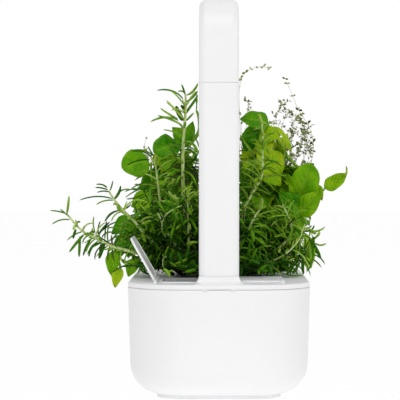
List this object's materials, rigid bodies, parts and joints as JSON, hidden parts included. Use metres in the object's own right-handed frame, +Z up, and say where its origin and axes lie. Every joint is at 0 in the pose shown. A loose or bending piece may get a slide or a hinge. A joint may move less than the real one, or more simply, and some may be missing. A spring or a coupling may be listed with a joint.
{
  "type": "countertop hydroponic garden",
  "caption": "Counter-top herb garden: rounded water tank with a lid, lift-out planted pods, service flaps and a plug-together grow lamp on a post.",
  "frame": {"origin": "centre of the base's resting face, on the table", "axes": "X across the base, Y along the base from the lamp post's end to the far end, Z up"},
  "size_m": [0.22, 0.305, 0.271],
  "materials": {
    "white_abs": "moulded white ABS, satin gloss",
    "grey_tpe": "pale grey non-slip elastomer, matt",
    "black_plastic": "moulded black nylon",
    "screw_steel": "zinc-plated steel",
    "contact_brass": "plated brass contacts",
    "clear_plastic": "clear moulded plastic",
    "float_foam": "closed-cell foam",
    "float_red": "moulded red plastic",
    "wire_red": "insulated wire",
    "board_green": "circuit board with green resist",
    "board_white": "aluminium-core board with white resist",
    "spreader_aluminium": "extruded aluminium",
    "led_phosphor": "LED package with yellow phosphor",
    "opal_diffuser": "opal acrylic",
    "pod_plastic": "moulded black polypropylene",
    "growing_medium": "pressed peat-like growing medium",
    "wick_felt": "felt wick",
    "rosemary_leaf": "rosemary needles on green and woody stems",
    "basil_leaf": "glossy basil leaves",
    "thyme_leaf": "small dull thyme leaves on wiry stems"
  },
  "bodies": {
    "tank": {"water_tank": "white_abs", "ring_foot": "grey_tpe"},
    "lid": {"lid": "white_abs", "arm_foot": "white_abs", "foot_screws": "screw_steel", "power_inlet": "black_plastic", "foot_contacts": "contact_brass", "fill_flap_pin": "screw_steel", "gauge_flap_pin": "screw_steel", "gauge_tube": "clear_plastic"},
    "fill_flap": {"fill_flap": "white_abs"},
    "gauge_flap": {"gauge_flap": "white_abs"},
    "float": {"float_body": "float_foam", "float_stem": "float_red"},
    "arm": {"extension_arm": "white_abs", "arm_plug": "black_plastic", "arm_pins": "contact_brass", "arm_wires": "wire_red", "arm_socket": "black_plastic", "arm_contacts": "contact_brass"},
    "lamp": {"lamp_shell": "white_abs", "lamp_plug": "black_plastic", "lamp_pins": "contact_brass", "driver_board": "board_green", "driver_parts": "black_plastic", "lamp_wires": "wire_red", "heat_spreader": "spreader_aluminium", "led_board": "board_white", "leds": "led_phosphor", "board_screws": "screw_steel", "lamp_diffuser": "opal_diffuser", "lamp_cover": "white_abs", "cover_screws": "screw_steel"},
    "pod_front": {"pod_cup_front": "pod_plastic", "medium_front": "growing_medium", "wick_front": "wick_felt", "pod_cap_front": "pod_plastic", "rosemary": "rosemary_leaf"},
    "pod_middle": {"pod_cup_middle": "pod_plastic", "medium_middle": "growing_medium", "wick_middle": "wick_felt", "pod_cap_middle": "pod_plastic", "basil": "basil_leaf"},
    "pod_rear": {"pod_cup_rear": "pod_plastic", "medium_rear": "growing_medium", "wick_rear": "wick_felt", "pod_cap_rear": "pod_plastic", "thyme": "thyme_leaf"}
  },
  "joints": [
    {"name": "lid_lift", "type": "slide", "parent": "tank", "child": "lid", "axis": [0, 0, 1], "range_m": [0, 0.075]},
    {"name": "fill_flap_hinge", "type": "hinge", "parent": "lid", "child": "fill_flap", "pos_m": [-0.0433, -0.1067, 0.0793], "axis": [0, -1, 0], "range_deg": [-119.6, 0]},
    {"name": "gauge_flap_hinge", "type": "hinge", "parent": "lid", "child": "gauge_flap", "pos_m": [0.0433, -0.1067, 0.0793], "axis": [0, 1, 0], "range_deg": [0, 119.6]},
    {"name": "float_rise", "type": "slide", "parent": "lid", "child": "float", "axis": [0, 0, 1], "range_m": [0, 0.036]},
    {"name": "arm_lift", "type": "slide", "parent": "lid", "child": "arm", "axis": [0, 0, 1], "range_m": [0, 0.022]},
    {"name": "lamp_lift", "type": "slide", "parent": "arm", "child": "lamp", "axis": [0, 0, 1], "range_m": [0, 0.022]},
    {"name": "pod_front_lift", "type": "slide", "parent": "lid", "child": "pod_front", "axis": [0, 0, 1], "range_m": [0, 0.075]},
    {"name": "pod_middle_lift", "type": "slide", "parent": "lid", "child": "pod_middle", "axis": [0, 0, 1], "range_m": [0, 0.075]},
    {"name": "pod_rear_lift", "type": "slide", "parent": "lid", "child": "pod_rear", "axis": [0, 0, 1], "range_m": [0, 0.075]}
  ]
}
